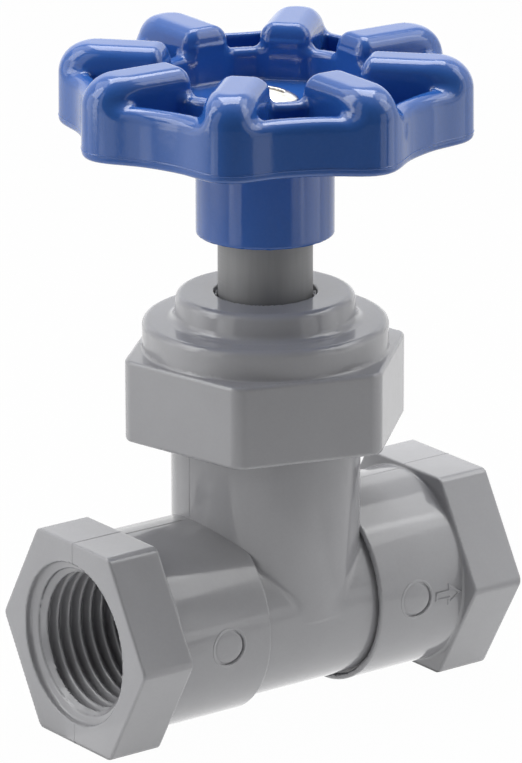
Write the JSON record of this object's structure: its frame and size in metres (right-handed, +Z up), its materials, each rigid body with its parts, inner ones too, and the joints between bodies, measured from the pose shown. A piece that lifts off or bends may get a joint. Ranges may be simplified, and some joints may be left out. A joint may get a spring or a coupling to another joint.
{
  "type": "plastic stop valve",
  "caption": "Grey plastic globe-pattern stop valve with female pipe-thread hexagon ends, a hexagon bonnet, a rising stem and a blue lobed handwheel.",
  "frame": {"origin": "on the surface that the two hexagon ends stand on, straight below the stem's axis", "axes": "+Z up along the stem, +X along the port axis from the inlet to the outlet, the way the flow arrow points"},
  "size_m": [0.0636, 0.0562, 0.0915],
  "materials": {
    "grey_pvc": "moulded, satin gloss",
    "blue_plastic": "moulded, glossy",
    "black_rubber": "smooth",
    "bright_steel": "bright plated"
  },
  "bodies": {
    "fixed_valve": {"valve_body": "grey_pvc", "body_neck": "grey_pvc", "inlet_socket": "grey_pvc", "outlet_socket": "grey_pvc", "bonnet": "grey_pvc", "bonnet_gasket": "black_rubber"},
    "disc": {"disc_holder": "grey_pvc", "seat_washer": "black_rubber", "washer_screw": "bright_steel"},
    "spindle": {"stem": "grey_pvc", "lower_seal_ring": "black_rubber", "upper_seal_ring": "black_rubber", "handwheel": "blue_plastic", "handwheel_screw": "bright_steel"}
  },
  "joints": [
    {"name": "disc_lift", "type": "slide", "parent": "fixed_valve", "child": "disc", "axis": [0, 0, 1], "range_m": [-0.00375, 0.0025]},
    {"name": "wheel_turn", "type": "hinge", "parent": "disc", "child": "spindle", "pos_m": [0, 0, 0.0867], "axis": [0, 0, 1], "range_deg": [-540, 360]}
  ],
  "couplings": [
    {"joint": "disc_lift", "follows": "wheel_turn", "m_per_rad": 0.00039789}
  ]
}
